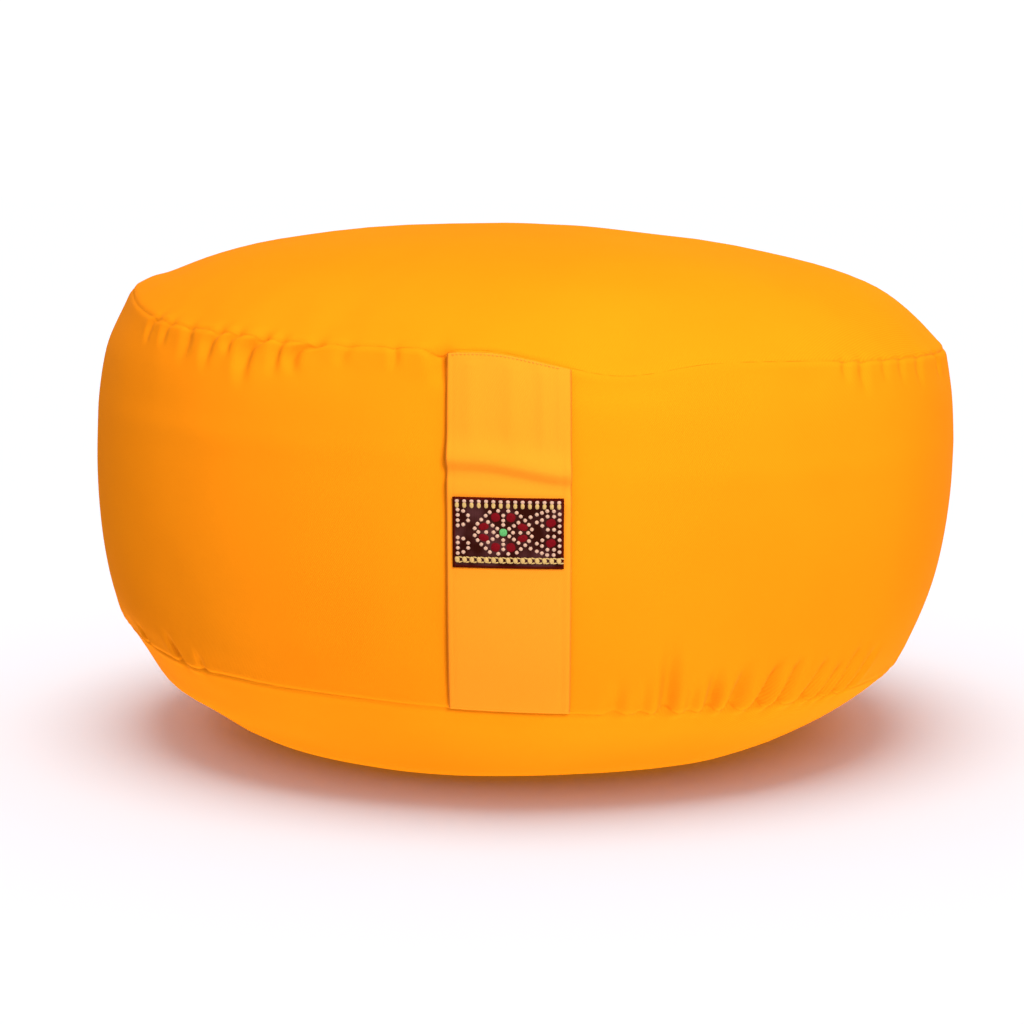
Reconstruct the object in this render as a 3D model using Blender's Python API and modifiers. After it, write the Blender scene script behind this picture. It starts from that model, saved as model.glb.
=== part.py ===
"""Round sitting cushion with a strap and a ribbon patch: metres, +Z up, front towards -Y.

The top panel, side band and bottom panel are sewn shut round the filling, so they are the faces of
one filled solid. Its two seams are circles that slope together, because the filling has settled to
one side, and the bottom panel is pressed flat where it rests. The strap and the patch are sheets
that follow the band. Angles round the cushion are degrees, 0 at the front and 90 at +X.
"""

from collections import namedtuple
from math import asin, atan2, cos, degrees, exp, pi, radians, sin, tau

import bmesh
import bpy
from mathutils import Vector

Seam = namedtuple("Seam", "radius x z slope")  # slope: rise for each metre along +X
Panel = namedtuple("Panel", "height rim shift")  # rim: share of the height that falls at the edge
Pucker = namedtuple("Pucker", "angle length depth")

# Cover: the three cloth panels that the filling pushes out between the two seams.
TOP_SEAM = Seam(radius=0.1600, x=0.0032, z=0.1573, slope=-0.0464)
BOTTOM_SEAM = Seam(radius=0.1532, x=-0.0032, z=0.0364, slope=-0.0442)
SEAM_DEPTH = 0.0012
CROWN = Panel(height=0.0381, rim=0.45, shift=0.0109)
BELLY = Panel(height=0.0600, rim=0.13, shift=-0.0145)
BAND = Panel(height=0.0099, rim=0.17, shift=0.0)
ROUND_OFF = 0.006  # the bottom panel bends into its flat over this height

# Gathers in the band under the top seam and above the bottom one.
PUCKER_HALF_ANGLE = 1.2
TOP_PUCKERS = [
    Pucker(angle=-60, length=0.011, depth=0.0008),
    Pucker(angle=-54, length=0.011, depth=0.0009),
    Pucker(angle=-48, length=0.013, depth=0.0012),
    Pucker(angle=-44, length=0.014, depth=0.0012),
    Pucker(angle=-40, length=0.012, depth=0.0010),
    Pucker(angle=-36, length=0.018, depth=0.0016),
    Pucker(angle=-32, length=0.013, depth=0.0013),
    Pucker(angle=-28, length=0.012, depth=0.0010),
    Pucker(angle=-12, length=0.016, depth=0.0012),
]
BOTTOM_PUCKERS = [
    Pucker(angle=-52, length=0.012, depth=0.0010),
    Pucker(angle=12, length=0.014, depth=0.0008),
    Pucker(angle=16, length=0.016, depth=0.0010),
    Pucker(angle=20, length=0.027, depth=0.0012),
    Pucker(angle=24, length=0.016, depth=0.0009),
    Pucker(angle=28, length=0.018, depth=0.0012),
    Pucker(angle=32, length=0.019, depth=0.0014),
    Pucker(angle=36, length=0.019, depth=0.0016),
    Pucker(angle=40, length=0.018, depth=0.0015),
    Pucker(angle=44, length=0.018, depth=0.0014),
    Pucker(angle=48, length=0.020, depth=0.0014),
    Pucker(angle=52, length=0.016, depth=0.0010),
]

# Strap: a flat band of the cover cloth from seam to seam, with one soft ridge above the patch.
STRAP_WIDTH = 0.0404
STRAP_X = -0.0051
STRAP_THICKNESS = 0.0016
STRAP_GAP = 0.0006
STRAP_END_LEVEL = 0.985
RIDGE_LEVEL = 0.39
RIDGE_SLANT = 0.04
RIDGE_HEIGHT = 0.0022
RIDGE_HALF_LEVEL = 0.08

# Ribbon patch sewn on the strap.
PATCH_WIDTH = 0.0356
PATCH_HEIGHT = 0.0231
PATCH_THICKNESS = 0.0010
PATCH_GAP = 0.0004
PATCH_X = -0.0053
PATCH_LEVEL = 0.038
PATCH_TURN = 1.6

# Mesh: fine columns across the front, where the gathers are, and wider ones round the back.
FRONT_HALF_ANGLE = 64
FRONT_STEP = 2
BACK_COLUMNS = 40
PANEL_ROWS = 9
BAND_ROWS = 14
STRAP_GRID = (6, 30)
PATCH_GRID = (6, 5)


def outward(angle):
    """The level direction out of the cushion at this angle."""
    return Vector((sin(radians(angle)), -cos(radians(angle)), 0.0))


def fall(share, rim):
    """0 in the middle of a filled panel and 1 at its seam, part of it in a steep rim."""
    return (1 - rim) * share**2 + rim * share**8


def seam_point(seam, share, angle):
    """A point in the plane of a seam, at this share of its radius."""
    flat = outward(angle) * seam.radius * share
    return Vector((seam.x + flat.x, flat.y, seam.z + seam.slope * flat.x))


def panel_point(seam, panel, side, share, angle):
    """A point on the top panel (side 1) or the bottom panel (side -1)."""
    point = seam_point(seam, share, angle)
    point.x += panel.shift * (1 - share**2)
    point.z += side * panel.height * (1 - fall(share, panel.rim))
    return point


def band_point(level, angle, proud=0.0):
    """A point on the side band, level 1 at the top seam and -1 at the bottom one."""
    bottom = seam_point(BOTTOM_SEAM, 1, angle)
    top = seam_point(TOP_SEAM, 1, angle)
    bulge = BAND.height * (1 - fall(level, BAND.rim))
    return bottom.lerp(top, (level + 1) / 2) + outward(angle) * (bulge + proud)


def pucker_depth(puckers, angle, distance):
    """How far the gathers draw the band in, at this distance from their seam."""
    depth = 0.0
    for pucker in puckers:
        along = distance / pucker.length
        if along < 1:
            across = (angle - pucker.angle) / PUCKER_HALF_ANGLE
            peak = 27 / 4 * along * (1 - along) ** 2
            depth += pucker.depth * peak * exp(-(across**2))
    return depth


def settled(height):
    """Height above the ground of a point that the filling would push to this height."""
    if height >= ROUND_OFF:
        return height
    return max(0.0, height + ROUND_OFF) ** 2 / (4 * ROUND_OFF)


def column_angle(column):
    """The angle of a mesh column, counted from the left end of the fine stretch."""
    fine_columns = 2 * FRONT_HALF_ANGLE // FRONT_STEP
    if column <= fine_columns:
        return -FRONT_HALF_ANGLE + FRONT_STEP * column
    back_step = (360 - 2 * FRONT_HALF_ANGLE) / BACK_COLUMNS
    return FRONT_HALF_ANGLE + back_step * (column - fine_columns)


def cushion_point(row, angle):
    """The cushion's surface, from row 0 at the top centre to the last row at the bottom centre."""
    rows = 2 * PANEL_ROWS + BAND_ROWS
    if row < PANEL_ROWS:
        return panel_point(TOP_SEAM, CROWN, 1, sin(pi / 2 * row / PANEL_ROWS), angle)
    if row > rows - PANEL_ROWS:
        share = sin(pi / 2 * (rows - row) / PANEL_ROWS)
        return panel_point(BOTTOM_SEAM, BELLY, -1, share, angle)
    if row in (PANEL_ROWS, rows - PANEL_ROWS):
        return band_point(1 if row == PANEL_ROWS else -1, angle, -SEAM_DEPTH)
    level = cos(pi * (row - PANEL_ROWS) / BAND_ROWS)
    height = (TOP_SEAM.z - BOTTOM_SEAM.z) / 2
    drawn_in = pucker_depth(TOP_PUCKERS, angle, (1 - level) * height)
    drawn_in += pucker_depth(BOTTOM_PUCKERS, angle, (1 + level) * height)
    return band_point(level, angle, -drawn_in)


def angle_at(level, x):
    """The angle at which the band's surface lies at this x."""
    bottom = seam_point(BOTTOM_SEAM, 0, 0)
    middle = bottom.lerp(seam_point(TOP_SEAM, 0, 0), (level + 1) / 2)
    front = band_point(level, 0)
    return degrees(asin((x - middle.x) / -front.y))


def strap_point(level, across, proud=0.0):
    """A point on the strap's inner face, across it in metres from its middle line."""
    ridge_middle = RIDGE_LEVEL - RIDGE_SLANT * across / (STRAP_WIDTH / 2)
    ridge = RIDGE_HEIGHT * exp(-(((level - ridge_middle) / RIDGE_HALF_LEVEL) ** 2))
    return band_point(level, angle_at(level, STRAP_X + across), STRAP_GAP + ridge + proud)


def patch_point(along, up):
    """A point on the patch's inner face, from its own middle in metres."""
    turn = radians(PATCH_TURN)
    across = PATCH_X - STRAP_X + along * cos(turn) - up * sin(turn)
    height = (TOP_SEAM.z - BOTTOM_SEAM.z) / 2
    level = PATCH_LEVEL + (along * sin(turn) + up * cos(turn)) / height
    return strap_point(level, across, STRAP_THICKNESS + PATCH_GAP)


def material(name, colour, roughness):
    """A plain cloth finish."""
    made = bpy.data.materials.new(name)
    made.use_nodes = True
    shader = made.node_tree.nodes["Principled BSDF"]
    shader.inputs["Base Color"].default_value = (*colour, 1.0)
    shader.inputs["Roughness"].default_value = roughness
    shader.inputs["Metallic"].default_value = 0.0
    return made


def add_object(name, shape, finish, collection):
    """Turn a bmesh into a named, smooth object with its finish."""
    mesh = bpy.data.meshes.new(name)
    shape.to_mesh(mesh)
    shape.free()
    mesh.materials.append(finish)
    mesh.shade_smooth()
    made = bpy.data.objects.new(name, mesh)
    collection.objects.link(made)
    return made


def make_cushion(collection):
    """The filled cover: a sphere whose rows and columns are laid on the panels and the band."""
    columns = 2 * FRONT_HALF_ANGLE // FRONT_STEP + BACK_COLUMNS
    rows = 2 * PANEL_ROWS + BAND_ROWS
    shape = bmesh.new()
    bmesh.ops.create_uvsphere(shape, u_segments=columns, v_segments=rows, radius=1.0)
    for vertex in shape.verts:
        row = round((pi / 2 - asin(max(-1.0, min(1.0, vertex.co.z)))) / pi * rows)
        column = round(atan2(vertex.co.y, vertex.co.x) % tau / tau * columns) % columns
        vertex.co = cushion_point(row, column_angle(column))
        vertex.co.z = settled(vertex.co.z)
    return add_object("cushion", shape, material("saffron_cotton", (0.90, 0.36, 0.01), 0.85), collection)


def make_sheet(name, grid, size, place, thickness, finish, collection):
    """A cloth sheet laid by the place function, with its thickness on the outside."""
    shape = bmesh.new()
    bmesh.ops.create_grid(shape, x_segments=grid[0], y_segments=grid[1], size=0.5)
    for vertex in shape.verts:
        vertex.co = place(vertex.co.x * size[0], vertex.co.y * size[1])
    made = add_object(name, shape, finish, collection)
    shell = made.modifiers.new("thickness", "SOLIDIFY")
    shell.thickness = thickness
    shell.offset = 1.0
    return made


def make_strap(collection):
    """The strap: its lengthwise size is in levels, twice the level at which it ends."""
    return make_sheet(
        "handle_strap",
        STRAP_GRID,
        (STRAP_WIDTH, 2 * STRAP_END_LEVEL),
        lambda across, level: strap_point(level, across),
        STRAP_THICKNESS,
        material("saffron_strap", (0.92, 0.42, 0.03), 0.85),
        collection,
    )


def make_patch(collection):
    """The woven ribbon patch."""
    return make_sheet(
        "ribbon_patch",
        PATCH_GRID,
        (PATCH_WIDTH, PATCH_HEIGHT),
        patch_point,
        PATCH_THICKNESS,
        material("dark_ribbon", (0.07, 0.02, 0.02), 0.7),
        collection,
    )


def stand_on_origin(objects):
    """Move the pieces together, so that their box is centred on x = y = 0 and stands on z = 0."""
    bpy.context.view_layer.update()
    graph = bpy.context.evaluated_depsgraph_get()
    points = [v.co for o in objects for v in o.evaluated_get(graph).data.vertices]
    low = Vector(min(p[axis] for p in points) for axis in range(3))
    high = Vector(max(p[axis] for p in points) for axis in range(3))
    for piece in objects:
        piece.location = (-(low.x + high.x) / 2, -(low.y + high.y) / 2, -low.z)


def main():
    for leftover in list(bpy.data.objects):
        bpy.data.objects.remove(leftover)
    collection = bpy.data.collections.new("meditation_cushion")
    bpy.context.scene.collection.children.link(collection)
    stand_on_origin([make_cushion(collection), make_strap(collection), make_patch(collection)])


main()
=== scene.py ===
import math
import bmesh
import bpy
import numpy as np
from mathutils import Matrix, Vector, noise
from mathutils.bvhtree import BVHTree


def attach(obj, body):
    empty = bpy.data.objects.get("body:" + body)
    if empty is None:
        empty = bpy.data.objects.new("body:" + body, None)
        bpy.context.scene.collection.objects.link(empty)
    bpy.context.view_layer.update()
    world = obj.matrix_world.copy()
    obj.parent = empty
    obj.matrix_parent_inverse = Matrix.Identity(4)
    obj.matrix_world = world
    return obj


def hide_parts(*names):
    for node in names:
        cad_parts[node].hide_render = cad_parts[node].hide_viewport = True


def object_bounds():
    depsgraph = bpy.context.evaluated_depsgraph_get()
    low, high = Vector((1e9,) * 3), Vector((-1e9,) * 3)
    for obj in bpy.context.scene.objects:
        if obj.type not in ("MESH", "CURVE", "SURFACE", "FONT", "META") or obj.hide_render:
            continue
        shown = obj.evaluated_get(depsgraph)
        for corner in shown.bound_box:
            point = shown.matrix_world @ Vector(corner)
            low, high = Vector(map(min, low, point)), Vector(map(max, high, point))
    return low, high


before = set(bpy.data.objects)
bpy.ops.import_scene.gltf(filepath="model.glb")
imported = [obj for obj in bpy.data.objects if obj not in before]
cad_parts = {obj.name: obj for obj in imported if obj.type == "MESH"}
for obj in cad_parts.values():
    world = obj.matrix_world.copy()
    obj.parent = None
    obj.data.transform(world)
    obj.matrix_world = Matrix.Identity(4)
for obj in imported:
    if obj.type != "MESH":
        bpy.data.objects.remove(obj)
cadLow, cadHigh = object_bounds()
scene = bpy.context.scene
print("frame loaded", [round(v, 4) for v in cadHigh - cadLow])


def smooth(x):
    x = np.clip(x, 0.0, 1.0)
    return x * x * (3 - 2 * x)


def bell(x, middle, spread):
    return np.exp(-((x - middle) / spread) ** 2)


def wrapped(degreesRound):
    return (degreesRound + 180) % 360 - 180


def spacedFrom(first, growth, total):
    # steps that grow away from a seam, ending exactly at total
    steps = [0.0]
    while steps[-1] < total:
        steps.append(steps[-1] + first * growth ** (len(steps) - 1))
    return np.array(steps) * total / steps[-1]


def gridMesh(name, points, closed=False, poles=None):
    # points is rows x columns x 3; poles are the two end points of a closed skin
    rows, columns = points.shape[:2]
    at = np.arange(rows * columns).reshape(rows, columns)
    if closed:
        at = np.concatenate([at, at[:, :1]], axis=1)
    quads = np.stack([at[:-1, :-1], at[1:, :-1], at[1:, 1:], at[:-1, 1:]], axis=-1).reshape(-1, 4)
    verts = points.reshape(-1, 3)
    faces = quads.tolist()
    if poles is not None:
        verts = np.concatenate([verts, np.array(poles)])
        top, bottom = rows * columns, rows * columns + 1
        faces += [[top, int(a), int(b)] for a, b in zip(at[0, :-1], at[0, 1:])]
        faces += [[bottom, int(b), int(a)] for a, b in zip(at[-1, :-1], at[-1, 1:])]
    mesh = bpy.data.meshes.new(name)
    mesh.from_pydata(verts.tolist(), [], faces)
    mesh.update()
    return mesh


def addPiece(name, mesh, material):
    mesh.materials.clear()
    mesh.materials.append(material)
    mesh.shade_smooth()
    piece = bpy.data.objects.new(name, mesh)
    scene.collection.objects.link(piece)
    return piece


def gridNormals(points):
    # unit normals of a grid that is closed along its columns
    down = np.gradient(points, axis=0)
    along = np.roll(points, -1, axis=1) - np.roll(points, 1, axis=1)
    normal = np.cross(down, along)
    return normal / np.maximum(np.linalg.norm(normal, axis=2, keepdims=True), 1e-12)


def setVectors(mesh, name, values):
    found = mesh.attributes.new(name, "FLOAT_VECTOR", "POINT")
    found.data.foreach_set("vector", values.astype(np.float32).ravel())


def setCornerVectors(mesh, name, values, wrapLength):
    # as setVectors, but a face that spans the join of a wrapped length keeps its own true width
    corners = np.empty(len(mesh.loops), int)
    mesh.loops.foreach_get("vertex_index", corners)
    found = values[corners]
    for face in mesh.polygons:
        here = slice(face.loop_start, face.loop_start + face.loop_total)
        across = found[here, 0]
        if across.max() - across.min() > wrapLength / 2:
            found[here, 0] = np.where(across < 0, across + wrapLength, across)
    made = mesh.attributes.new(name, "FLOAT_VECTOR", "CORNER")
    made.data.foreach_set("vector", found.astype(np.float32).ravel())


# cover: top panel, side band and bottom panel round the filling, in metres
cover = {
    "topSeam": {"radius": 0.1600, "x": 0.0032, "z": 0.1573, "slope": -0.0464},
    "bottomSeam": {"radius": 0.1532, "x": -0.0032, "z": 0.0364, "slope": -0.0442},
    "crown": {"height": 0.0381, "rim": 0.45, "shift": 0.0109},
    "belly": {"height": 0.0600, "rim": 0.13, "shift": -0.0145},
    "bandBulge": 0.0099,
    "bandRim": 0.17,
    "roundOff": 0.006,
    "frontHalf": 72,        # degrees of fine columns each side of the front
    "frontStep": 0.32,
    "backColumns": 220,
    "firstStep": 0.00035,   # row spacing at a seam
    "bandGrowth": 1.085,
    "panelGrowth": 1.16,
    "strayStretch": 1.35,   # cloth along a crowned panel for each metre of radius, where its seam strays
    "clothStretch": 1.3,    # the same for the gathers
    "aroundRadius": 0.163,  # the band's cloth is laid out round a circle of this radius
}

# where each seam strays from its circle: degrees round, metres up and in, and how far each side feels it
seamStrays = {
    "top": [
        {"angle": -84, "spread": 20, "rise": 0.0085, "inset": 0.0056, "panel": 0.017, "band": 0.007},
        {"angle": -28, "spread": 7, "rise": -0.0009, "inset": 0.0, "panel": 0.013, "band": 0.013},
        {"angle": 10, "spread": 8.5, "rise": -0.0056, "inset": -0.0006, "panel": 0.022, "band": 0.016},
        {"angle": -5, "spread": 4, "rise": 0.0009, "inset": 0.0, "panel": 0.013, "band": 0.013},
    ],
    "bottom": [
        {"angle": -70, "spread": 11, "rise": 0.0026, "inset": 0.0, "panel": 0.013, "band": 0.013},
        {"angle": -48, "spread": 6, "rise": -0.0010, "inset": 0.0, "panel": 0.013, "band": 0.013},
        {"angle": 82, "spread": 28, "rise": 0.0, "inset": 0.0024, "panel": 0.020, "band": 0.020},
    ],
}
# each gather nicks its seam, by this rise for a gather as deep as perDepth
scallop = {"rise": 0.0007, "half": 1.1, "reach": 0.0045, "perDepth": 0.001}

# gathers: degrees round at the seam, lean to the far end, then length, half width and depth in metres
puckers = {
    "top": [
        {"angle": -57.6, "lean": -1.6, "length": 0.009, "width": 0.0017, "depth": 0.0007},
        {"angle": -53.4, "lean": -1.0, "length": 0.009, "width": 0.0017, "depth": 0.0007},
        {"angle": -48.8, "lean": 0.4, "length": 0.014, "width": 0.0024, "depth": 0.0007},
        {"angle": -42.6, "lean": -1.4, "length": 0.015, "width": 0.0019, "depth": 0.0010},
        {"angle": -39.2, "lean": -1.4, "length": 0.009, "width": 0.0015, "depth": 0.0009},
        {"angle": -35.0, "lean": -2.4, "length": 0.019, "width": 0.0022, "depth": 0.0015},
        {"angle": -32.2, "lean": -0.4, "length": 0.014, "width": 0.0017, "depth": 0.0010},
        {"angle": -27.0, "lean": -3.4, "length": 0.013, "width": 0.0020, "depth": 0.0012},
        {"angle": -22.6, "lean": -0.8, "length": 0.009, "width": 0.0018, "depth": 0.0005},
        {"angle": -16.8, "lean": 0.3, "length": 0.009, "width": 0.0012, "depth": 0.0006},
        {"angle": -11.4, "lean": 1.2, "length": 0.013, "width": 0.0030, "depth": 0.0020},
        {"angle": 42.2, "lean": -0.3, "length": 0.009, "width": 0.0016, "depth": 0.0006},
        {"angle": 45.8, "lean": -0.4, "length": 0.014, "width": 0.0020, "depth": 0.0007},
        {"angle": 50.6, "lean": -0.4, "length": 0.010, "width": 0.0016, "depth": 0.0004},
        {"angle": 55.0, "lean": -0.6, "length": 0.011, "width": 0.0018, "depth": 0.0004},
        {"angle": 60.6, "lean": -1.0, "length": 0.013, "width": 0.0022, "depth": 0.0005},
    ],
    "bottom": [
        {"angle": -75.0, "lean": 2.4, "length": 0.016, "width": 0.0022, "depth": 0.0010},
        {"angle": -61.4, "lean": -1.8, "length": 0.009, "width": 0.0016, "depth": 0.0009},
        {"angle": -51.4, "lean": -2.4, "length": 0.013, "width": 0.0018, "depth": 0.0011},
        {"angle": -46.4, "lean": -0.4, "length": 0.009, "width": 0.0016, "depth": 0.0006},
        {"angle": 12.6, "lean": -0.45, "length": 0.018, "width": 0.0022, "depth": 0.0009},
        {"angle": 16.2, "lean": -0.55, "length": 0.018, "width": 0.0021, "depth": 0.0009},
        {"angle": 19.4, "lean": -1.1, "length": 0.032, "width": 0.0023, "depth": 0.0021},
        {"angle": 22.8, "lean": -0.65, "length": 0.016, "width": 0.0017, "depth": 0.0009},
        {"angle": 25.6, "lean": -0.3, "length": 0.020, "width": 0.0019, "depth": 0.0021},
        {"angle": 28.7, "lean": 1.6, "length": 0.022, "width": 0.0021, "depth": 0.0021},
        {"angle": 32.8, "lean": 2.6, "length": 0.020, "width": 0.0020, "depth": 0.0029},
        {"angle": 36.2, "lean": 3.0, "length": 0.021, "width": 0.0019, "depth": 0.0029},
        {"angle": 41.1, "lean": 3.4, "length": 0.019, "width": 0.0018, "depth": 0.0024},
        {"angle": 44.2, "lean": 3.6, "length": 0.015, "width": 0.0016, "depth": 0.0023},
        {"angle": 47.4, "lean": 4.2, "length": 0.021, "width": 0.0018, "depth": 0.0027},
        {"angle": 51.6, "lean": 4.0, "length": 0.018, "width": 0.0018, "depth": 0.0021},
    ],
}

# round the back the gathers are plain: how many at each seam and how strong
backPuckers = {"seed": 7, "from": 66, "to": 284, "count": 40, "depth": 0.0006, "length": 0.012, "width": 0.0022}

# the form that all gathers share
gatherForm = {
    "depth": 3.0,           # times each gather's own depth
    "width": 1.45,          # times its own half width
    "bow": 1.3,             # how a top gather bends over on its way down
    "bowRate": 5.0,
    "bowBack": 0.5,
    "start": 0.45,          # how deep it starts, and how it grows before it dies out
    "growth": 4.0,
    "even": 1.05,
    "tail": 0.003,          # how far it runs over the seam into the panel
    "tailDepth": 0.43,
    "shoulder": 0.45,       # the cloth stands up beside each trough
    "shoulderWidth": 2.1,
}
seamFinish = {
    "groove": 0.00042,
    "grooveHalf": 0.0007,
    "lip": 0.00010,
    "lipAt": 0.0020,
    "lipHalf": 0.0012,
    "soft": 0.85,           # the top seam all but vanishes here, in degrees round
    "softAt": 20,
    "softHalf": 15,
}

# long soft swells: degrees round and level (or share of the radius) of the middle, slant, height, half sizes
softRelief = [
    {"panel": "band", "angle": -40, "level": 0.43, "slant": 0.0, "height": 0.0005,
     "halfAngle": 30, "halfLevel": 0.07},
    {"panel": "band", "angle": 38, "level": 0.38, "slant": 0.0008, "height": 0.0005,
     "halfAngle": 34, "halfLevel": 0.08},
    {"panel": "band", "angle": -30, "level": -0.55, "slant": 0.0, "height": -0.0006,
     "halfAngle": 26, "halfLevel": 0.20},
    {"panel": "top", "angle": 75, "level": 0.80, "slant": 0.0, "height": 0.0011,
     "halfAngle": 40, "halfLevel": 0.13},
    {"panel": "top", "angle": -84, "level": 0.95, "slant": 0.0, "height": 0.0005,
     "halfAngle": 20, "halfLevel": 0.035},
    {"panel": "bottom", "angle": -80, "level": 0.87, "slant": 0.0, "height": 0.0024,
     "halfAngle": 36, "halfLevel": 0.06},
]
elsewhere = 9.0             # a level that no row reaches


def seamPlane(seam, share, angle):
    x = seam["radius"] * share * np.sin(angle)
    y = -seam["radius"] * share * np.cos(angle)
    return np.stack([seam["x"] + x, y, seam["z"] + seam["slope"] * x], axis=-1)


def fall(share, rim):
    return (1 - rim) * share ** 2 + rim * share ** 8


def stray(which, angle, distance):
    # how far the cloth is pulled off its even shape, the distance positive on the band side
    move = np.zeros(np.broadcast(angle, distance).shape + (3,))
    degreesRound = np.degrees(angle)
    for pull in seamStrays[which]:
        reach = np.where(distance > 0, pull["band"], pull["panel"])
        off = wrapped(degreesRound - pull["angle"]) / pull["spread"]
        share = np.exp(-(distance / reach) ** 2 - off ** 2)
        move[..., 0] -= pull["inset"] * share * np.sin(angle)
        move[..., 1] += pull["inset"] * share * np.cos(angle)
        move[..., 2] += pull["rise"] * share
    away = 1 if which == "bottom" else -1
    for gather in puckers[which]:
        nick = bell(wrapped(degreesRound - gather["angle"]), 0, scallop["half"])
        share = nick * np.exp(-(distance / scallop["reach"]) ** 2)
        move[..., 2] += away * scallop["rise"] * share * gather["depth"] / scallop["perDepth"]
    return move


def panelPoint(which, share, angle):
    seam = cover[which + "Seam"]
    panel = cover["crown" if which == "top" else "belly"]
    side = 1 if which == "top" else -1
    at = seamPlane(seam, share, angle)
    at[..., 0] += panel["shift"] * (1 - share ** 2)
    at[..., 2] += side * panel["height"] * (1 - fall(share, panel["rim"]))
    return at + stray(which, angle, (share - 1) * seam["radius"] * cover["strayStretch"])


def bandPoint(level, angle, proud=0.0):
    bottom = seamPlane(cover["bottomSeam"], np.ones_like(level), angle)
    top = seamPlane(cover["topSeam"], np.ones_like(level), angle)
    share = ((level + 1) / 2)[..., None]
    bulge = cover["bandBulge"] * (1 - fall(level, cover["bandRim"])) + proud
    outward = np.stack([np.sin(angle), -np.cos(angle), np.zeros_like(angle)], axis=-1)
    at = bottom + (top - bottom) * share + outward * bulge[..., None]
    at += stray("top", angle, (1 - level) * halfBand)
    return at + stray("bottom", angle, (1 + level) * halfBand)


def settled(z):
    # the bottom panel bends into its flat over this height
    bend = cover["roundOff"]
    return np.where(z >= bend, z, np.maximum(0.0, z + bend) ** 2 / (4 * bend))


def columnAngles():
    half, step, back = cover["frontHalf"], cover["frontStep"], cover["backColumns"]
    front = np.arange(-half, half, step)
    behind = half + (360 - 2 * half) * np.arange(back) / back
    return np.radians(np.concatenate([front, behind]))


halfBand = (cover["topSeam"]["z"] - cover["bottomSeam"]["z"]) / 2


def coverRows():
    # (panel, share or level, distance from the nearest seam) from the top centre to the bottom centre
    panelSteps = spacedFrom(cover["firstStep"], cover["panelGrowth"], cover["topSeam"]["radius"])
    bandSteps = spacedFrom(cover["firstStep"], cover["bandGrowth"], halfBand)
    shares = 1 - panelSteps / cover["topSeam"]["radius"]
    rows = [("top", s) for s in shares[1:-1][::-1]]
    rows += [("band", 1 - d / halfBand) for d in bandSteps]
    rows += [("band", d / halfBand - 1) for d in bandSteps[:-1][::-1]]
    rows += [("bottom", s) for s in shares[1:-1]]
    return rows


def evenCover(rows, angles):
    made = []
    for panel, value in rows:
        at = np.full_like(angles, value)
        made.append(bandPoint(at, angles) if panel == "band" else panelPoint(panel, at, angles))
    return np.stack(made)


def seamDistance(rows, which):
    # along the cloth, positive on the band side and negative on the panel side
    found = []
    for panel, value in rows:
        if panel == "band":
            found.append((1 - value if which == "top" else 1 + value) * halfBand)
        elif panel == which:
            found.append(-(1 - value) * cover[which + "Seam"]["radius"] * cover["clothStretch"])
        else:
            found.append(1.0)
    return np.array(found)


def allPuckers(which):
    rng = np.random.default_rng(backPuckers["seed"] + (which == "top"))
    made = list(puckers[which])
    span = backPuckers["to"] - backPuckers["from"]
    for i in range(backPuckers["count"]):
        made.append({
            "angle": backPuckers["from"] + span * (i + 0.5 + rng.uniform(-0.3, 0.3)) / backPuckers["count"],
            "lean": rng.uniform(-1.2, 1.2),
            "length": backPuckers["length"] * rng.uniform(0.6, 1.5),
            "width": backPuckers["width"] * rng.uniform(0.8, 1.2),
            "depth": backPuckers["depth"] * rng.uniform(0.3, 1.5),
        })
    return made


def seamRelief(which, rows, angles):
    distance = seamDistance(rows, which)[:, None]
    around = np.degrees(angles)[None, :]
    radius = cover[which + "Seam"]["radius"]
    relief = np.zeros((len(rows), len(angles)))
    form = gatherForm
    for gather in allPuckers(which):
        along = np.clip(distance / gather["length"], 0.0, 1.0)
        bowed = form["bow"] * (1 - np.exp(-form["bowRate"] * along)) * (1 - form["bowBack"] * along)
        middle = gather["angle"] + gather["lean"] * (bowed if which == "top" else along)
        across = np.radians(wrapped(around - middle)) * radius / (gather["width"] * form["width"])
        # starts a little in at the seam, deepest a third of the way, then dies out
        grown = (form["start"] + form["growth"] * along) * (1 - along) ** 2 / form["even"]
        run = np.where(distance >= 0, grown, 0.0)
        over = (distance < 0) & (distance > -form["tail"])
        run = np.where(over, form["tailDepth"] * (1 + distance / form["tail"]), run)
        trough = np.exp(-across ** 2) - form["shoulder"] * np.exp(-(across / form["shoulderWidth"]) ** 2)
        relief -= form["depth"] * gather["depth"] * run * trough
    finish = seamFinish
    strength = 1.0
    if which == "top":
        strength = 1 - finish["soft"] * bell(wrapped(around), finish["softAt"], finish["softHalf"])
    relief -= finish["groove"] * strength * np.exp(-(distance / finish["grooveHalf"]) ** 2)
    relief += finish["lip"] * strength * bell(np.abs(distance), finish["lipAt"], finish["lipHalf"])
    return relief


def creaseRelief(rows, angles):
    around = np.degrees(angles)[None, :]
    relief = np.zeros((len(rows), len(angles)))
    for rise in softRelief:
        level = np.array([value if panel == rise["panel"] else elsewhere for panel, value in rows])[:, None]
        off = wrapped(around - rise["angle"])
        middle = rise["level"] + rise["slant"] * off
        across = np.exp(-(off / rise["halfAngle"]) ** 2)
        relief += rise["height"] * across * bell(level, middle, rise["halfLevel"])
    return relief


def unevenness(points, size, height):
    # the filling's soft lumps
    flat = points.reshape(-1, 3) / size
    return height * np.array([noise.noise(Vector(p)) for p in flat]).reshape(points.shape[:2])


rows = coverRows()
angles = columnAngles()
even = evenCover(rows, angles)
shift = np.array([-(even[..., 0].min() + even[..., 0].max()) / 2, cadHigh.y - even[..., 1].max(), 0.0])
print("cover grid", even.shape[:2], "shift", shift.round(4))


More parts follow.
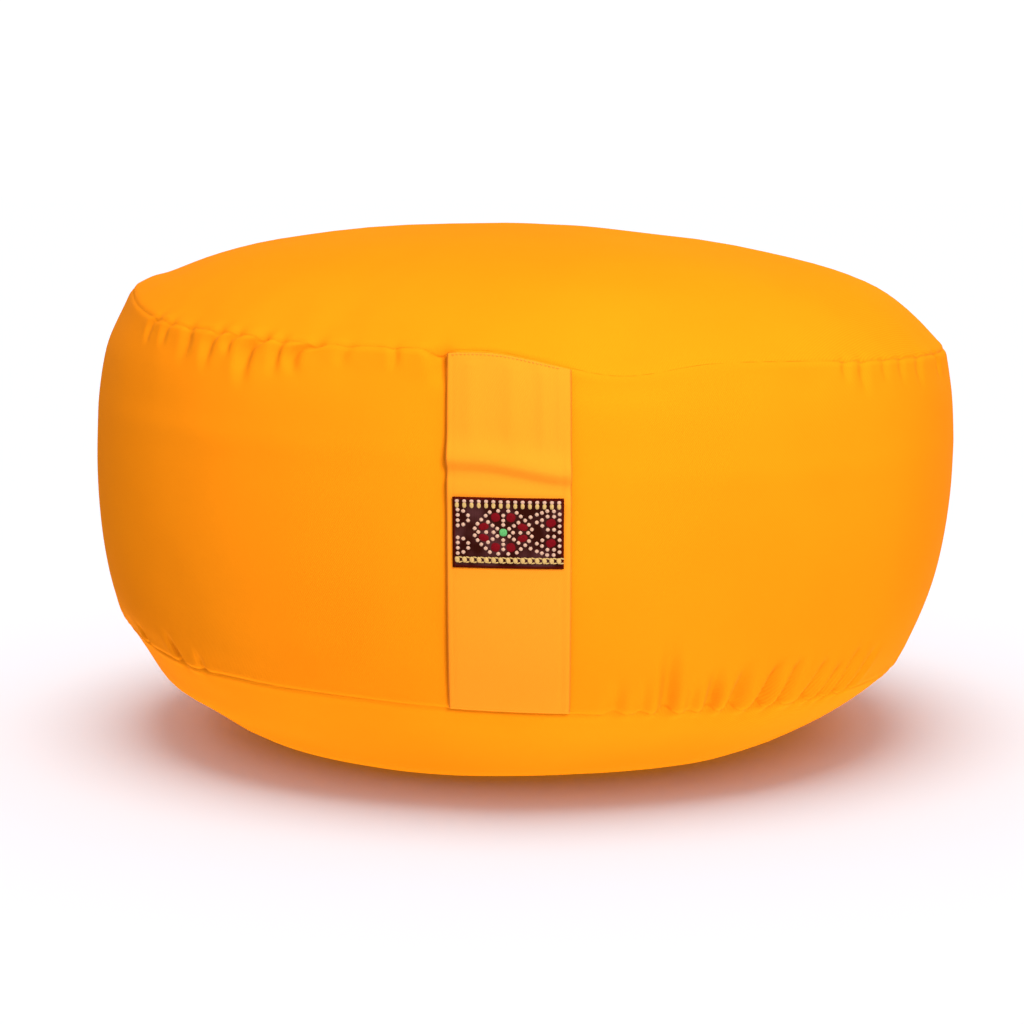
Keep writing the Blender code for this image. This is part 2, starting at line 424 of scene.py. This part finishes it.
# the filling pushes the cloth unevenly between its seams; a simulation on a smaller copy says how
filling = {
    "voxel": 0.005,
    "startInside": 0.0025,
    "pressure": 4.0,
    "frames": 20,
    "mostMove": 0.006,
    "seamHold": 0.010,      # the cloth is held still this near a seam
    "keep": 0.35,           # share of the simulation's unevenness that is used
    "smoothing": 12,
    "rayFrom": 0.02,        # how far outside the cover the simulated skin is looked for, and how deep
    "rayReach": 0.05,
    "lumps": [(0.055, 0.0009), (0.021, 0.00022)],   # size and height of the filling's soft lumps
}


def simulatedSwell(points, normals):
    inner = points - normals * filling["startInside"]
    poles = [inner[0].mean(axis=0), inner[-1].mean(axis=0)]
    mesh = gridMesh("swell", inner[::3, ::4], closed=True, poles=poles)
    body = bpy.data.objects.new("swell", mesh)
    scene.collection.objects.link(body)
    bpy.context.view_layer.objects.active = body
    remesh = body.modifiers.new("remesh", "REMESH")
    remesh.mode = "VOXEL"
    remesh.voxel_size = filling["voxel"]
    bpy.ops.object.modifier_apply(modifier="remesh")
    start = np.array([v.co for v in body.data.vertices])
    cloth = body.modifiers.new("cloth", "CLOTH")
    cloth.settings.quality = 5
    cloth.settings.use_pressure = True
    cloth.settings.uniform_pressure_force = filling["pressure"]
    cloth.settings.effector_weights.gravity = 0.0
    cloth.collision_settings.use_collision = False
    for frameNumber in range(1, filling["frames"] + 1):
        scene.frame_set(frameNumber)
    graph = bpy.context.evaluated_depsgraph_get()
    moved = np.array([v.co for v in body.evaluated_get(graph).data.vertices])
    step = moved - start
    length = np.linalg.norm(step, axis=1, keepdims=True)
    moved = start + step * np.minimum(1.0, filling["mostMove"] / np.maximum(length, 1e-9))
    tree = BVHTree.FromPolygons(moved.tolist(), [list(p.vertices) for p in body.data.polygons])
    bpy.data.objects.remove(body)
    scene.frame_set(1)
    # every second row and column is measured, and those between are averaged
    found = np.zeros(points.shape[:2])
    for r in range(0, points.shape[0], 2):
        for c in range(0, points.shape[1], 2):
            outside = Vector(points[r, c] + normals[r, c] * filling["rayFrom"])
            hit = tree.ray_cast(outside, Vector(-normals[r, c]), filling["rayReach"])
            if hit[0] is not None:
                found[r, c] = filling["rayFrom"] - hit[3]
    following = np.roll(found[:, 0::2], -1, axis=1)[:, :found[:, 1::2].shape[1]]
    found[:, 1::2] = (found[:, 0:-1:2] + following) / 2
    last = found.shape[0] - 1
    for r in range(1, last + 1, 2):
        found[r] = (found[r - 1] + found[min(r + 1, last - last % 2)]) / 2
    return found


def softened(field, times):
    for _ in range(times):
        field = (field + np.roll(field, 1, axis=1) + np.roll(field, -1, axis=1)) / 3
        padded = np.concatenate([field[:1], field, field[-1:]])
        field = (padded[:-2] + padded[1:-1] + padded[2:]) / 3
    return field


def nodeTree(name):
    material = bpy.data.materials.new(name)
    material.use_nodes = True
    nodes = material.node_tree.nodes
    shader = nodes["Principled BSDF"]
    return material, nodes, material.node_tree.links, shader


clothFinish = {
    "colour": (0.90, 0.252, 0.0052),
    "deep": (0.83, 0.214, 0.0038),
    "roughness": 0.55,
    "specular": 0.0,
    "sheen": 0.03,
    "sheenTint": (1.0, 0.75, 0.40),
    "twillPitch": 0.00062,
    "yarn": 0.00026,
    "bump": 0.00007,
}


def clothMaterial(name, finish):
    material, nodes, links, shader = nodeTree(name)
    shader.inputs["Roughness"].default_value = finish["roughness"]
    shader.inputs["Specular IOR Level"].default_value = finish["specular"]
    shader.inputs["Sheen Weight"].default_value = finish["sheen"]
    shader.inputs["Sheen Roughness"].default_value = 0.25
    shader.inputs["Sheen Tint"].default_value = (*finish["sheenTint"], 1)

    lie = nodes.new("ShaderNodeAttribute")
    lie.attribute_name = "lie"      # metres across and along the cloth
    turn = nodes.new("ShaderNodeMapping")
    turn.inputs["Rotation"].default_value = (0, 0, math.radians(32))
    turn.inputs["Scale"].default_value = (1 / finish["twillPitch"],) * 3
    links.new(lie.outputs["Vector"], turn.inputs["Vector"])
    twill = nodes.new("ShaderNodeTexWave")
    twill.inputs["Scale"].default_value = 1 / 20 * math.tau
    twill.inputs["Distortion"].default_value = 0.6
    twill.inputs["Detail"].default_value = 1.0
    twill.inputs["Detail Scale"].default_value = 0.6
    links.new(turn.outputs["Vector"], twill.inputs["Vector"])

    fine = nodes.new("ShaderNodeMapping")
    fine.inputs["Scale"].default_value = (1 / finish["yarn"], 0.22 / finish["yarn"], 1 / finish["yarn"])
    links.new(lie.outputs["Vector"], fine.inputs["Vector"])
    yarn = nodes.new("ShaderNodeTexNoise")
    yarn.inputs["Scale"].default_value = 1.0
    yarn.inputs["Detail"].default_value = 3.0
    links.new(fine.outputs["Vector"], yarn.inputs["Vector"])

    both = nodes.new("ShaderNodeMix")
    both.data_type = "FLOAT"
    both.inputs["Factor"].default_value = 0.4
    links.new(twill.outputs["Fac"], both.inputs[2])
    links.new(yarn.outputs["Fac"], both.inputs[3])

    bump = nodes.new("ShaderNodeBump")
    bump.inputs["Strength"].default_value = 0.8
    bump.inputs["Distance"].default_value = finish["bump"]
    links.new(both.outputs[0], bump.inputs["Height"])
    links.new(bump.outputs["Normal"], shader.inputs["Normal"])

    place = nodes.new("ShaderNodeTexCoord")
    cloud = nodes.new("ShaderNodeTexNoise")
    cloud.inputs["Scale"].default_value = 14.0
    cloud.inputs["Detail"].default_value = 4.0
    links.new(place.outputs["Object"], cloud.inputs["Vector"])
    mixed = nodes.new("ShaderNodeMath")
    mixed.operation = "MULTIPLY_ADD"
    mixed.inputs[1].default_value = 0.55
    links.new(both.outputs[0], mixed.inputs[0])
    half = nodes.new("ShaderNodeMath")
    half.operation = "MULTIPLY"
    half.inputs[1].default_value = 0.45
    links.new(cloud.outputs["Fac"], half.inputs[0])
    links.new(half.outputs[0], mixed.inputs[2])
    ramp = nodes.new("ShaderNodeValToRGB")
    ramp.color_ramp.elements[0].position = 0.30
    ramp.color_ramp.elements[0].color = (*finish["deep"], 1)
    ramp.color_ramp.elements[1].position = 0.70
    ramp.color_ramp.elements[1].color = (*finish["colour"], 1)
    links.new(mixed.outputs[0], ramp.inputs["Fac"])
    links.new(ramp.outputs["Color"], shader.inputs["Base Color"])
    return material


def plainThread(name, colour, roughness=0.55, specular=0.3):
    material, nodes, links, shader = nodeTree(name)
    shader.inputs["Roughness"].default_value = roughness
    shader.inputs["Specular IOR Level"].default_value = specular
    place = nodes.new("ShaderNodeTexCoord")
    grain = nodes.new("ShaderNodeTexNoise")
    grain.inputs["Scale"].default_value = 2200.0
    grain.inputs["Detail"].default_value = 2.0
    links.new(place.outputs["Object"], grain.inputs["Vector"])
    ramp = nodes.new("ShaderNodeValToRGB")
    ramp.color_ramp.elements[0].position = 0.3
    ramp.color_ramp.elements[0].color = (*[channel * 0.72 for channel in colour], 1)
    ramp.color_ramp.elements[1].position = 0.7
    ramp.color_ramp.elements[1].color = (*colour, 1)
    links.new(grain.outputs["Fac"], ramp.inputs["Fac"])
    links.new(ramp.outputs["Color"], shader.inputs["Base Color"])
    bump = nodes.new("ShaderNodeBump")
    bump.inputs["Strength"].default_value = 0.6
    bump.inputs["Distance"].default_value = 0.00008
    links.new(grain.outputs["Fac"], bump.inputs["Height"])
    links.new(bump.outputs["Normal"], shader.inputs["Normal"])
    return material


coverCloth = clothMaterial("saffronTwill", clothFinish)
# the strap wears the cover's cloth made paler and bluer: a painted highlight for the stronger light that falls
# on the strap
strapPaintedHighlightFinish = {**clothFinish, "colour": (0.91, 0.268, 0.016), "deep": (0.85, 0.232, 0.012), "bump": 0.00006}
strapPaintedHighlightCloth = clothMaterial("saffronStrapTwillPaintedHighlight", strapPaintedHighlightFinish)


def makeCushion():
    normals = gridNormals(even)
    swell = np.zeros(even.shape[:2])
    swell = softened(simulatedSwell(even, normals), filling["smoothing"])
    top, bottom = np.abs(seamDistance(rows, "top")), np.abs(seamDistance(rows, "bottom"))
    hold = smooth(np.minimum(top, bottom) / filling["seamHold"])[:, None]
    print("swell", swell.min().round(5), swell.mean().round(5), swell.max().round(5))
    swell = (swell - swell.mean()) * hold * filling["keep"]
    relief = seamRelief("top", rows, angles) + seamRelief("bottom", rows, angles)
    relief += creaseRelief(rows, angles)
    relief += sum(unevenness(even, size, height) for size, height in filling["lumps"])
    points = even + normals * (relief + swell)[..., None] + shift
    points[..., 2] = settled(points[..., 2])
    poles = [points[0].mean(axis=0), points[-1].mean(axis=0)]
    mesh = gridMesh("cushionCover", points, closed=True, poles=poles)
    # cloth coordinates: round and up the band, flat across the panels
    girth = math.tau * cover["aroundRadius"]
    lie = np.zeros_like(points)
    for i, (panel, value) in enumerate(rows):
        if panel == "band":
            lie[i, :, 0] = wrapped(np.degrees(angles)) / 360 * girth
            lie[i, :, 1] = value * halfBand
        else:
            lie[i, :, :2] = points[i, :, :2]
    lie = np.concatenate([lie.reshape(-1, 3), np.array(poles) * [1, 1, 0]])
    setCornerVectors(mesh, "lie", lie, girth)
    piece = addPiece("cushionCover", mesh, coverCloth)
    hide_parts("cushion")
    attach(piece, "root")
    return piece


cushion = makeCushion()
print("cushion made", len(cushion.data.polygons), "faces")


# strap from seam to seam, in metres; levels run from 1 at the top seam to -1 at the bottom one
strap = {
    "width": 0.0404,
    "x": -0.0051,
    "thickness": 0.0012,
    "gap": 0.0007,
    "across": 56,
    "along": 240,
    "endLevel": 0.992,
    "ridgeLevel": 0.435,
    "ridgeSlant": 0.055,
    "ridgeHeight": 0.0017,
    "ridgeAbove": 0.085,
    "ridgeBelow": 0.048,
    "waves": [(-0.075, 0.030, -0.0006), (-0.17, 0.07, 0.0006)],    # under the fold: level, half size, height
    "loose": 0.0003,
    "belly": 0.0008,
    "folds": [(-0.62, 0.15, 0.0006), (0.06, 0.16, 0.0007), (0.55, 0.10, 0.0006), (0.84, 0.07, 0.0004)],
    "hemLeft": 0.0018,
    "hemRight": 0.0030,
    "hemHalf": 0.0005,
    "hemDepth": 0.00025,
    "edgeRound": 0.0008,
    "clothPlace": 0.31,     # it is cut from another place in the cloth than the band
}


def angleAt(level, x):
    share = (level + 1) / 2
    middle = cover["bottomSeam"]["x"] * (1 - share) + cover["topSeam"]["x"] * share
    radius = cover["bottomSeam"]["radius"] * (1 - share) + cover["topSeam"]["radius"] * share
    radius = radius + cover["bandBulge"] * (1 - fall(level, cover["bandRim"]))
    return np.arcsin((x - middle) / radius)


def strapHeight(level, across):
    # how far the strap stands off the band, in metres
    side = across / (strap["width"] / 2)
    # one soft fold over the ribbon: it slopes down to the right and drops more steeply below its crest
    crest = strap["ridgeLevel"] - strap["ridgeSlant"] * smooth((side + 0.5) / 1.5)
    off = level - crest
    spread = np.where(off > 0, strap["ridgeAbove"], strap["ridgeBelow"])
    ridge = strap["ridgeHeight"] * np.exp(-(off / spread) ** 2)
    for at, half, height in strap["waves"]:
        ridge = ridge + height * bell(off, at, half)
    folds = 0.0
    for at, half, height in strap["folds"]:
        fade = smooth((level - 0.40) / 0.25) * smooth((1.0 - level) / 0.08)
        folds = folds + height * bell(side, at, half) * fade
    loose = strap["loose"] * bell(side, -1.0, 0.30) * smooth((1 - level ** 2) / 0.5)
    belly = strap["belly"] * (1 - level ** 2)
    return strap["gap"] + ridge + folds + loose + belly


def strapPoint(level, across, proud=0.0):
    angle = angleAt(level, strap["x"] + across)
    return bandPoint(level, angle, strapHeight(level, across) + proud) + shift


def makeStrap():
    half = strap["width"] / 2
    levels = np.linspace(strap["endLevel"], -strap["endLevel"], strap["along"])
    sides = np.linspace(-1, 1, strap["across"])
    level, side = np.meshgrid(levels, sides, indexing="ij")
    across = half * side
    # each long edge is folded and stitched: it rounds over, with a shallow line inside it
    fromLeft, fromRight = across + half, half - across
    edge = np.minimum(fromLeft, fromRight)
    short = (1 - edge / strap["edgeRound"]).clip(0, 1)
    roundOver = strap["thickness"] / 2 * np.sqrt(np.clip(1 - short ** 2, 0, 1))
    hems = bell(fromLeft, strap["hemLeft"], strap["hemHalf"])
    hems = hems + bell(fromRight, strap["hemRight"], strap["hemHalf"])
    lines = strap["hemDepth"] * hems
    outer = strapPoint(level, across, strap["thickness"] / 2 + roundOver - lines)
    inner = strapPoint(level, across, strap["thickness"] / 2 - roundOver)
    loop = np.concatenate([outer, inner[:, ::-1][:, 1:-1]], axis=1)
    mesh = gridMesh("frontStrap", loop, closed=True)
    lie = np.zeros_like(loop)
    lieAcross = np.concatenate([across, across[:, ::-1][:, 1:-1]], axis=1)
    lieLevel = np.concatenate([level, level[:, 1:-1]], axis=1)
    lie[..., 0], lie[..., 1] = lieAcross + strap["clothPlace"], lieLevel * halfBand
    setVectors(mesh, "lie", lie.reshape(-1, 3))
    closeEnds(mesh, loop.shape)
    piece = addPiece("frontStrap", mesh, strapPaintedHighlightCloth)
    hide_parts("handle_strap")
    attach(piece, "root")
    return piece


def closeEnds(mesh, shape):
    # caps each end of a tube-like grid with a strip of faces between its two sides
    made = bmesh.new()
    made.from_mesh(mesh)
    made.verts.ensure_lookup_table()
    rowCount, columnCount = shape[:2]
    for row in (0, rowCount - 1):
        first = row * columnCount
        for k in range(columnCount // 2):
            corners = []
            for column in (k, k + 1, columnCount - k - 1, (columnCount - k) % columnCount):
                corner = made.verts[first + column]
                if corner not in corners:
                    corners.append(corner)
            if row:
                corners.reverse()
            made.faces.new(corners)
    bmesh.ops.recalc_face_normals(made, faces=made.faces)
    made.to_mesh(mesh)
    made.free()


strapPiece = makeStrap()
print("strap made")


# woven ribbon patch sewn on the strap, in metres
ribbon = {
    "width": 0.0356,
    "height": 0.0235,
    "x": -0.0053,
    "level": 0.047,
    "turn": 1.6,
    "thickness": 0.0010,
    "gap": 0.0003,
    "dot": 0.00066,
    "middle": (-0.0016, 0.0003),
    "edgeRound": 0.0006,
    "columns": 60,
    "rows": 40,
    "repeats": 15,          # of the bars above and the loops below
    "repeatFrom": -14.7,    # millimetres from the rosette's middle
    "repeatPitch": 2.32,
}


def ribbonGroundMaterial():
    material, nodes, links, shader = nodeTree("maroonGround")
    shader.inputs["Roughness"].default_value = 0.75
    shader.inputs["Specular IOR Level"].default_value = 0.0
    place = nodes.new("ShaderNodeTexCoord")
    patches = nodes.new("ShaderNodeTexNoise")
    patches.inputs["Scale"].default_value = 120.0
    patches.inputs["Detail"].default_value = 2.0
    links.new(place.outputs["Object"], patches.inputs["Vector"])
    ramp = nodes.new("ShaderNodeValToRGB")
    ramp.color_ramp.elements[0].position = 0.42
    ramp.color_ramp.elements[0].color = (0.026, 0.0042, 0.0025, 1)
    ramp.color_ramp.elements[1].position = 0.64
    ramp.color_ramp.elements[1].color = (0.058, 0.017, 0.016, 1)
    links.new(patches.outputs["Fac"], ramp.inputs["Fac"])
    # the selvedge all round is a redder thread
    lie = nodes.new("ShaderNodeAttribute")
    lie.attribute_name = "lie"
    inside = nodes.new("ShaderNodeSeparateXYZ")
    links.new(lie.outputs["Vector"], inside.inputs[0])
    share = nodes.new("ShaderNodeMapRange")
    share.inputs["From Min"].default_value, share.inputs["From Max"].default_value = 0.0005, 0.0011
    links.new(inside.outputs["Z"], share.inputs["Value"])
    both = nodes.new("ShaderNodeMix")
    both.data_type = "RGBA"
    both.inputs[6].default_value = (0.060, 0.0035, 0.0015, 1)
    links.new(ramp.outputs["Color"], both.inputs[7])
    links.new(share.outputs[0], both.inputs[0])
    links.new(both.outputs[2], shader.inputs["Base Color"])
    ribs = nodes.new("ShaderNodeTexWave")
    ribs.inputs["Scale"].default_value = 380.0
    ribs.bands_direction = "X"
    links.new(place.outputs["Object"], ribs.inputs["Vector"])
    bump = nodes.new("ShaderNodeBump")
    bump.inputs["Strength"].default_value = 0.6
    bump.inputs["Distance"].default_value = 0.0001
    links.new(ribs.outputs["Fac"], bump.inputs["Height"])
    links.new(bump.outputs["Normal"], shader.inputs["Normal"])
    return material


ribbonDark = ribbonGroundMaterial()
beige = plainThread("beigeThread", (0.62, 0.37, 0.25), roughness=0.6, specular=0.05)
cream = plainThread("creamThread", (0.60, 0.38, 0.13), roughness=0.6, specular=0.05)
red = plainThread("redThread", (0.17, 0.003, 0.006), roughness=0.6, specular=0.03)
green = plainThread("greenThread", (0.11, 0.40, 0.12), roughness=0.6, specular=0.05)


def ribbonPoint(along, up, proud=0.0):
    along, up = np.asarray(along, float), np.asarray(up, float)
    turn = math.radians(ribbon["turn"])
    across = ribbon["x"] - strap["x"] + along * math.cos(turn)
    level = ribbon["level"] + (along * math.sin(turn) + up) / halfBand
    return strapPoint(level, across, strap["thickness"] + ribbon["gap"] + proud)


def makeRibbon():
    across = np.linspace(-1, 1, ribbon["columns"]) * ribbon["width"] / 2
    upward = np.linspace(1, -1, ribbon["rows"]) * ribbon["height"] / 2
    along, up = np.meshgrid(across, upward)
    edge = np.minimum(ribbon["width"] / 2 - np.abs(along), ribbon["height"] / 2 - np.abs(up))
    proud = ribbon["thickness"] * (0.55 + 0.45 * smooth(edge / ribbon["edgeRound"]))
    mesh = gridMesh("ribbonGround", ribbonPoint(along, up, proud))
    setVectors(mesh, "lie", np.stack([along, up, edge], axis=-1))
    piece = addPiece("ribbonGround", mesh, ribbonDark)
    shell = piece.modifiers.new("thickness", "SOLIDIFY")
    shell.thickness = ribbon["thickness"] * 0.5
    shell.offset = -1.0
    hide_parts("ribbon_patch")
    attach(piece, "root")
    return piece


pad = {"rings": 4, "sides": 12, "squareness": 2.6, "flatten": 0.82, "sunk": 0.35, "crown": 0.68}


def padMesh(name, spots, material):
    # spots: along, up, half width, half height, turn in degrees, height; each a small raised pad of thread
    rings, sides, power = pad["rings"], pad["sides"], pad["squareness"]
    verts, faces = [], []
    for along, up, halfWide, halfHigh, turn, height in spots:
        base = len(verts)
        cosTurn, sinTurn = math.cos(math.radians(turn)), math.sin(math.radians(turn))
        for ring in range(rings):
            lift = math.sin(math.pi / 2 * ring / (rings - 1))
            reach = math.cos(math.pi / 2 * ring / (rings - 1) * pad["flatten"])
            for k in range(sides):
                around = math.tau * k / sides
                # a rounded square, like a stitch of floats
                out = 1 / (abs(math.cos(around)) ** power + abs(math.sin(around)) ** power) ** (1 / power)
                x = out * math.cos(around) * halfWide * reach
                y = out * math.sin(around) * halfHigh * reach
                proud = ribbon["thickness"] + height * (lift - pad["sunk"])
                at = ribbonPoint(along + x * cosTurn - y * sinTurn, up + x * sinTurn + y * cosTurn, proud)
                verts.append(at.tolist())
        top = len(verts)
        verts.append(ribbonPoint(along, up, ribbon["thickness"] + height * pad["crown"]).tolist())
        for ring in range(rings - 1):
            for k in range(sides):
                a, b = base + ring * sides + k, base + ring * sides + (k + 1) % sides
                faces.append([a, b, b + sides, a + sides])
        last = base + (rings - 1) * sides
        faces += [[last + k, last + (k + 1) % sides, top] for k in range(sides)]
        faces.append([base + k for k in range(sides)][::-1])
    mesh = bpy.data.meshes.new(name)
    mesh.from_pydata(verts, [], faces)
    mesh.update()
    piece = addPiece(name, mesh, material)
    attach(piece, "root")
    return piece


# the woven motif, charted in millimetres from the rosette's middle; most of it is mirrored
chart = {
    "ring": [(1.6, 7.1), (4.3, 6.6), (5.6, 5.4), (7.0, 4.1), (8.2, 2.7), (9.1, 1.15)],
    "rays": [(1.9, 1.25), (3.4, 2.25), (4.85, 3.35)],
    "up": [2.5, 3.95, 5.6],
    "across": [3.1, 5.45, 7.95],
    "uprightPetal": (2.45, 4.95, 1.55, 1.60, 14),
    "flatPetal": (6.2, 1.85, 1.75, 1.25, 16),
    "leftColumn": [2.0, 3.7, 5.45, 7.2],
    "leftArc": [(12.75, 6.8), (11.2, 5.4), (11.2, 3.75), (12.75, 2.35)],
    "rightColumn": [2.3, 4.3, 6.3],
    "rightFlower": (15.2, 3.35, 1.70, 1.45, 24),
    "flowerDots": [(-1.1, 2.15), (1.0, 2.15), (-2.85, 0.95), (-2.75, -0.95), (-1.0, -2.2), (1.0, -2.2)],
    "outerArc": [(8.7, 5.2), (10.7, 6.1), (12.3, 6.7), (14.0, 7.3), (16.1, 7.25), (10.7, 3.5)],
}


def mirrored(spots, left=True):
    # each spot above and below the middle, and on both sides of it
    sides = (1, -1) if left else (1,)
    return [(sx * x, sy * y) for x, y in spots for sx in sides for sy in (1, -1)]


def makeMotif():
    dots = mirrored(chart["ring"]) + mirrored(chart["rays"])
    dots += [(0.0, sy * y) for y in chart["up"] for sy in (1, -1)]
    dots += [(sx * x, 0.0) for x in chart["across"] for sx in (1, -1)]
    dots += [(-14.5, sy * y) for y in chart["leftColumn"] for sy in (1, -1)]
    dots += [(-x, y) for x, y in mirrored(chart["leftArc"], left=False)]
    dots += [(17.95, sy * y) for y in chart["rightColumn"] for sy in (1, -1)] + [(17.95, 0.3)]
    dots += mirrored(chart["outerArc"], left=False)
    flowerX, flowerY, wide, high, turn = chart["rightFlower"]
    dots += [(flowerX + x, sy * (flowerY + y)) for x, y in chart["flowerDots"] for sy in (1, -1)]
    petals = [(flowerX, sy * flowerY, wide, high, turn) for sy in (1, -1)]
    for name in ("uprightPetal", "flatPetal"):
        x, y, wide, high, turn = chart[name]
        petals += [(sx * x, sy * y, wide, high, -sx * sy * turn) for sx in (1, -1) for sy in (1, -1)]

    midX, midY = ribbon["middle"]
    dot = ribbon["dot"]
    dotPads = [(midX + x / 1000, midY + y / 1000, dot, dot, 45, 0.00045) for x, y in dots]
    petalPads = [(midX + x / 1000, midY + y / 1000, wide / 1000, high / 1000, turn, 0.00030)
                 for x, y, wide, high, turn in petals]
    tops, bars, loops = [], [], []
    for k in range(ribbon["repeats"]):
        along = midX + (ribbon["repeatPitch"] * k + ribbon["repeatFrom"]) / 1000
        tops.append((along, 0.01040, 0.00068, 0.00060, 0, 0.00040))
        bars.append((along, 0.00905, 0.00068, 0.00100, 0, 0.00040))
        # each loop has two short stitches that join it to the next
        loops.append((along, -0.0090, 0.00080, 0.00108, 10, 0.00045))
        loops.append((along + 0.00105, -0.0082, 0.00075, 0.00026, -14, 0.00034))
        loops.append((along + 0.00100, -0.0098, 0.00070, 0.00024, 12, 0.00032))
    made = [
        padMesh("ribbonDots", dotPads, beige),
        padMesh("ribbonTops", tops, beige),
        padMesh("ribbonBars", bars, cream),
        padMesh("ribbonLoops", loops, cream),
        padMesh("ribbonPetals", petalPads, red),
        padMesh("ribbonCentre", [(midX, midY, 0.00135, 0.00135, 0, 0.00050)], green),
    ]
    print("motif made", len(dotPads), "dots")
    return made


ribbonPiece = makeRibbon()
motif = makeMotif()


thread = plainThread("saffronThread", (0.80, 0.27, 0.01))
stitching = {
    "level": 0.982,
    "pitch": 0.0013,
    "length": 0.0009,
    "radius": 0.00016,
    "leftMargin": 0.0016,
    "rightMargin": 0.0040,
    "sides": 6,
    "steps": 5,
}


def stitchMesh(name, runs, material):
    # each run is one short stitch: its start, its end and the way out of the cloth
    verts, faces = [], []
    steps, sides, radius = stitching["steps"], stitching["sides"], stitching["radius"]
    for start, end, outward in runs:
        base = len(verts)
        along = (end - start) / np.linalg.norm(end - start)
        side = np.cross(outward, along)
        for k in range(steps + 1):
            share = k / steps
            arch = math.sin(math.pi * share)
            middle = start + (end - start) * share + outward * radius * (1.3 * arch - 0.5)
            thick = radius * (0.45 + 0.55 * arch)
            for j in range(sides):
                turn = math.tau * j / sides
                verts.append((middle + thick * (math.cos(turn) * side + math.sin(turn) * outward)).tolist())
        for k in range(steps):
            for j in range(sides):
                a, b = base + k * sides + j, base + k * sides + (j + 1) % sides
                faces.append([a, b, b + sides, a + sides])
        faces.append([base + j for j in range(sides)][::-1])
        faces.append([base + steps * sides + j for j in range(sides)])
    mesh = bpy.data.meshes.new(name)
    mesh.from_pydata(verts, [], faces)
    mesh.update()
    piece = addPiece(name, mesh, material)
    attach(piece, "root")
    return piece


def strapStitches():
    # one row close to the strap's top edge
    runs = []
    half = strap["width"] / 2
    across = -half + stitching["leftMargin"]
    while across < half - stitching["rightMargin"]:
        ends = [strapPoint(np.array(stitching["level"]), np.array(place), strap["thickness"])
                for place in (across, across + stitching["length"])]
        runs.append((ends[0], ends[1], np.array([0.0, -1.0, 0.0])))
        across += stitching["pitch"]
    return stitchMesh("strapStitches", runs, thread)


stitches = strapStitches()
print("stitches made")


# floor, light and camera
reflector = {"at": (0.06, 0.15, -0.85), "size": (0.6, 0.4)}   # pale ground throwing light back up

studio = {
    "floorSize": 60.0,
    "floorColour": (0.945, 0.945, 0.945),
    "ambient": (0.17, 0.19, 0.27),
    "backdrop": (1.10, 1.10, 1.10),
    "lens": 83.23,
    "distance": 0.9433,
    "pitch": 0.1394,
    "aim": (-0.0042, 0.0, 0.0831),
    "lampAim": (0, 0, 0.09),
    "overhead": {"strength": 1.55, "spread": 38, "lean": 5},
    "canopy": {"strength": 1.25, "spread": 115, "lean": 5},
    "side": {"at": (0.36, -1.20, 0.66), "size": (0.45, 0.45), "energy": 16.8, "bounces": 0},
    "low": {**reflector, "energy": 11.0, "bounces": 0},
    "back": {"at": (0.60, 1.10, 0.40), "size": (0.45, 0.45), "energy": 9.0, "bounces": 0},
    "glow": {**reflector, "energy": 4.2, "bounces": 1},      # the part of it that the cushion passes on
}


def makeFloor():
    material, nodes, links, shader = nodeTree("paleFloor")
    shader.inputs["Base Color"].default_value = (*studio["floorColour"], 1)
    shader.inputs["Roughness"].default_value = 0.9
    shader.inputs["Specular IOR Level"].default_value = 0.0
    bpy.ops.mesh.primitive_plane_add(size=studio["floorSize"], location=(0, 0, 0))
    floor = bpy.context.object
    floor.name = "floor"
    floor.data.materials.append(material)


def addLamp(name, light, at, towards):
    lamp = bpy.data.objects.new(name, light)
    lamp.location = at
    lamp.rotation_euler = (Vector(towards) - Vector(at)).to_track_quat("-Z", "Y").to_euler()
    scene.collection.objects.link(lamp)
    return lamp


def makeWorld():
    # the soft fill is dim; the pale backdrop only shows behind the cushion and lights nothing
    world = bpy.data.worlds.new("studio")
    world.use_nodes = True
    nodes, links = world.node_tree.nodes, world.node_tree.links
    path = nodes.new("ShaderNodeLightPath")
    tint = nodes.new("ShaderNodeMix")
    tint.data_type = "RGBA"
    tint.inputs[6].default_value = (*studio["ambient"], 1)
    tint.inputs[7].default_value = (*studio["backdrop"], 1)
    links.new(path.outputs["Is Camera Ray"], tint.inputs[0])
    links.new(tint.outputs[2], nodes["Background"].inputs["Color"])
    scene.world = world


def makeLight(lit):
    makeWorld()
    # a soft box overhead and a wider, thinner canopy round it
    for name in ("overhead", "canopy"):
        made = studio[name]
        sun = bpy.data.lights.new(name, "SUN")
        sun.energy = made["strength"]
        sun.angle = math.radians(made["spread"])
        lean = math.radians(made["lean"])
        addLamp(name, sun, (0, -math.sin(lean), math.cos(lean)), (0, 0, 0))
    # the side light and the low reflector are flagged off the floor, so they light the cushion alone
    group = bpy.data.collections.new("lit")
    for piece in lit:
        group.objects.link(piece)
    for name in ("side", "back", "low", "glow"):
        made = studio[name]
        light = bpy.data.lights.new(name, "AREA")
        light.shape = "RECTANGLE"
        light.size, light.size_y = made["size"]
        light.energy = made["energy"]
        light.cycles.max_bounces = made["bounces"]
        lamp = addLamp(name, light, made["at"], studio["lampAim"])
        lamp.light_linking.receiver_collection = group
        lamp.light_linking.blocker_collection = group


def makeCamera():
    lens = bpy.data.cameras.new("camera")
    lens.lens = studio["lens"]
    lens.sensor_width = 36.0
    camera = bpy.data.objects.new("camera", lens)
    back = Vector((0, -math.cos(studio["pitch"]), math.sin(studio["pitch"])))
    aim = Vector(studio["aim"]) + Vector(shift)
    camera.location = aim + back * studio["distance"]
    camera.rotation_mode = "QUATERNION"
    camera.rotation_quaternion = (-back).to_track_quat("-Z", "Y")
    scene.collection.objects.link(camera)
    scene.camera = camera


pieces = [piece for piece in scene.objects if piece.type == "MESH"]
makeFloor()
makeLight(pieces)
makeCamera()
scene.view_settings.view_transform = "Standard"
print("studio made")
